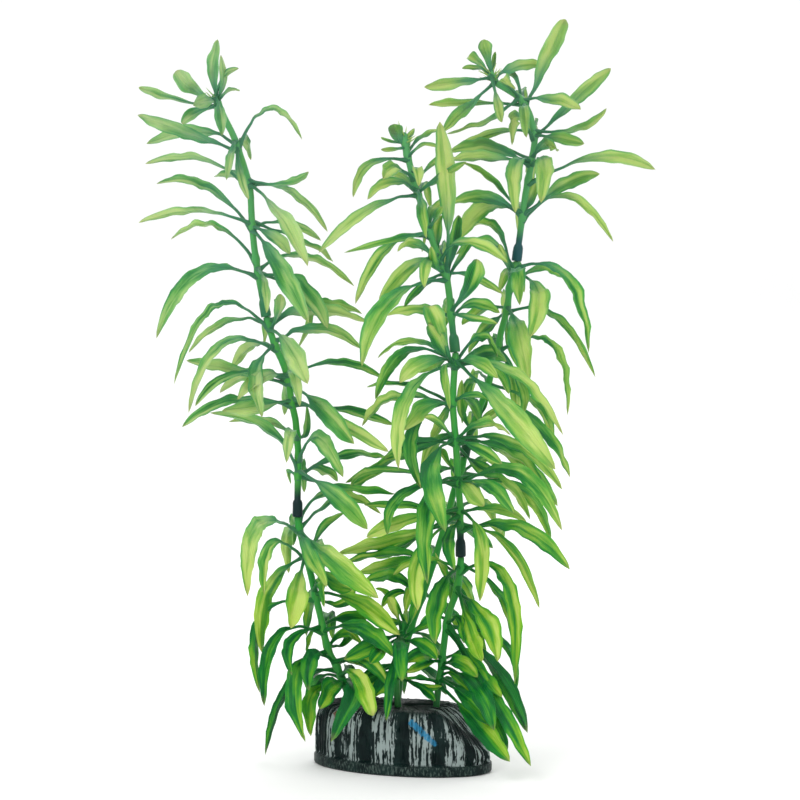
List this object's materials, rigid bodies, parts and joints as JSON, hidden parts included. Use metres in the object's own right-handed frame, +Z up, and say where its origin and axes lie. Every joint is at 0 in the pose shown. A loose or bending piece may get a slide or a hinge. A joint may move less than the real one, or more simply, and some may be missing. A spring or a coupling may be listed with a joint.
{
  "type": "artificial aquarium plant",
  "caption": "artificial mud plantain for an aquarium: tall leafy stems and a low sprig of soft plastic, standing in a weighted bark-textured foot",
  "frame": {"origin": "centre of the foot's flat underside", "axes": "+Z up; the foot is long along X, and the picture was taken from the -Y side, turned 20 degrees towards +X"},
  "size_m": [0.2193, 0.1234, 0.3401],
  "materials": {
    "painted_bark": "satin",
    "deep_green_plastic": "satin",
    "green_plastic": "satin",
    "light_green_plastic": "satin"
  },
  "bodies": {
    "root": {"foot": "painted_bark", "left_stem_base": "deep_green_plastic", "left_stem_middle": "green_plastic", "left_stem_top": "light_green_plastic", "front_stem_base": "deep_green_plastic", "front_stem_middle": "green_plastic", "front_stem_top": "light_green_plastic", "rear_stem_base": "deep_green_plastic", "rear_stem_middle": "green_plastic", "rear_stem_top": "light_green_plastic", "short_sprig": "deep_green_plastic"}
  },
  "joints": []
}
